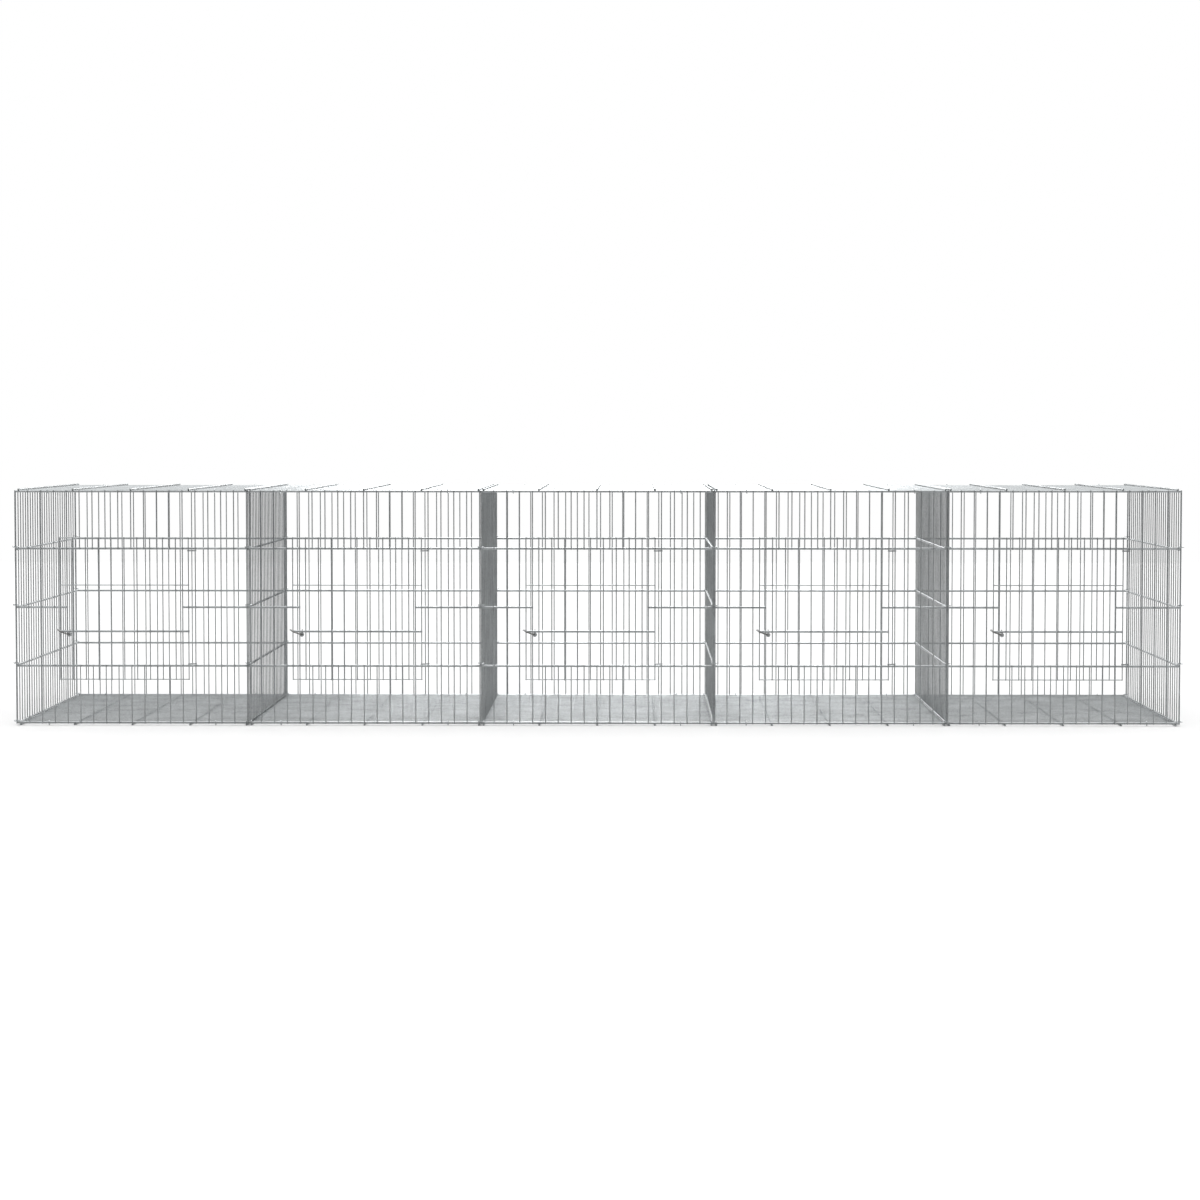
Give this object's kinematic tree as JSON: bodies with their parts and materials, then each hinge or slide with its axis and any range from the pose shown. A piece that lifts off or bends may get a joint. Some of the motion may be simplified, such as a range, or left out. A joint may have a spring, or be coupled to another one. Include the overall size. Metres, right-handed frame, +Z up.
{
  "type": "kennel cage",
  "caption": "Low row of side-by-side wire mesh animal cages on one level, each with a wire floor, a wire top, a hinged front door and a turning latch.",
  "frame": {"origin": "under the middle of the row, on the surface it stands on", "axes": "+X along the row to the right as seen from the doors, -Y the side with the doors, +Z up"},
  "size_m": [2.7274, 0.8068, 0.553],
  "materials": {
    "galvanised_mesh": "satin galvanised wire",
    "galvanised_door": "satin galvanised wire",
    "clip_steel": "zinc plated steel",
    "latch_steel": "dark zinc plated steel"
  },
  "bodies": {
    "cage": {"front_panel_1": "galvanised_mesh", "front_panel_2": "galvanised_mesh", "front_panel_3": "galvanised_mesh", "front_panel_4": "galvanised_mesh", "front_panel_5": "galvanised_mesh", "back_panel_1": "galvanised_mesh", "back_panel_2": "galvanised_mesh", "back_panel_3": "galvanised_mesh", "back_panel_4": "galvanised_mesh", "back_panel_5": "galvanised_mesh", "floor_panel_1": "galvanised_mesh", "floor_panel_2": "galvanised_mesh", "floor_panel_3": "galvanised_mesh", "floor_panel_4": "galvanised_mesh", "floor_panel_5": "galvanised_mesh", "top_panel_1": "galvanised_mesh", "top_panel_2": "galvanised_mesh", "top_panel_3": "galvanised_mesh", "top_panel_4": "galvanised_mesh", "top_panel_5": "galvanised_mesh", "partition_1": "galvanised_mesh", "partition_2": "galvanised_mesh", "partition_3": "galvanised_mesh", "partition_4": "galvanised_mesh", "end_panel_left": "galvanised_mesh", "end_panel_right": "galvanised_mesh", "front_post_clips": "clip_steel", "back_post_clips": "clip_steel", "floor_clips": "clip_steel", "top_clips": "clip_steel"},
    "door_1": {"door_1": "galvanised_door", "hinge_straps_1": "clip_steel", "latch_eye_1": "clip_steel"},
    "latch_1": {"latch_1": "latch_steel"},
    "door_2": {"door_2": "galvanised_door", "hinge_straps_2": "clip_steel", "latch_eye_2": "clip_steel"},
    "latch_2": {"latch_2": "latch_steel"},
    "door_3": {"door_3": "galvanised_door", "hinge_straps_3": "clip_steel", "latch_eye_3": "clip_steel"},
    "latch_3": {"latch_3": "latch_steel"},
    "door_4": {"door_4": "galvanised_door", "hinge_straps_4": "clip_steel", "latch_eye_4": "clip_steel"},
    "latch_4": {"latch_4": "latch_steel"},
    "door_5": {"door_5": "galvanised_door", "hinge_straps_5": "clip_steel", "latch_eye_5": "clip_steel"},
    "latch_5": {"latch_5": "latch_steel"}
  },
  "joints": [
    {"name": "door_1_hinge", "type": "hinge", "parent": "cage", "child": "door_1", "pos_m": [-0.936, -0.39054, 0.27352], "axis": [0, 0, 1], "range_deg": [0, 150]},
    {"name": "latch_1_turn", "type": "hinge", "parent": "door_1", "child": "latch_1", "pos_m": [-1.2305, -0.3947, 0.213], "axis": [0, -1, 0], "range_deg": [0, 90]},
    {"name": "door_2_hinge", "type": "hinge", "parent": "cage", "child": "door_2", "pos_m": [-0.393, -0.39054, 0.27352], "axis": [0, 0, 1], "range_deg": [0, 150]},
    {"name": "latch_2_turn", "type": "hinge", "parent": "door_2", "child": "latch_2", "pos_m": [-0.6875, -0.3947, 0.213], "axis": [0, -1, 0], "range_deg": [0, 90]},
    {"name": "door_3_hinge", "type": "hinge", "parent": "cage", "child": "door_3", "pos_m": [0.15, -0.39054, 0.27352], "axis": [0, 0, 1], "range_deg": [0, 150]},
    {"name": "latch_3_turn", "type": "hinge", "parent": "door_3", "child": "latch_3", "pos_m": [-0.1445, -0.3947, 0.213], "axis": [0, -1, 0], "range_deg": [0, 90]},
    {"name": "door_4_hinge", "type": "hinge", "parent": "cage", "child": "door_4", "pos_m": [0.693, -0.39054, 0.27352], "axis": [0, 0, 1], "range_deg": [0, 150]},
    {"name": "latch_4_turn", "type": "hinge", "parent": "door_4", "child": "latch_4", "pos_m": [0.3985, -0.3947, 0.213], "axis": [0, -1, 0], "range_deg": [0, 90]},
    {"name": "door_5_hinge", "type": "hinge", "parent": "cage", "child": "door_5", "pos_m": [1.236, -0.39054, 0.27352], "axis": [0, 0, 1], "range_deg": [0, 150]},
    {"name": "latch_5_turn", "type": "hinge", "parent": "door_5", "child": "latch_5", "pos_m": [0.9415, -0.3947, 0.213], "axis": [0, -1, 0], "range_deg": [0, 90]}
  ]
}
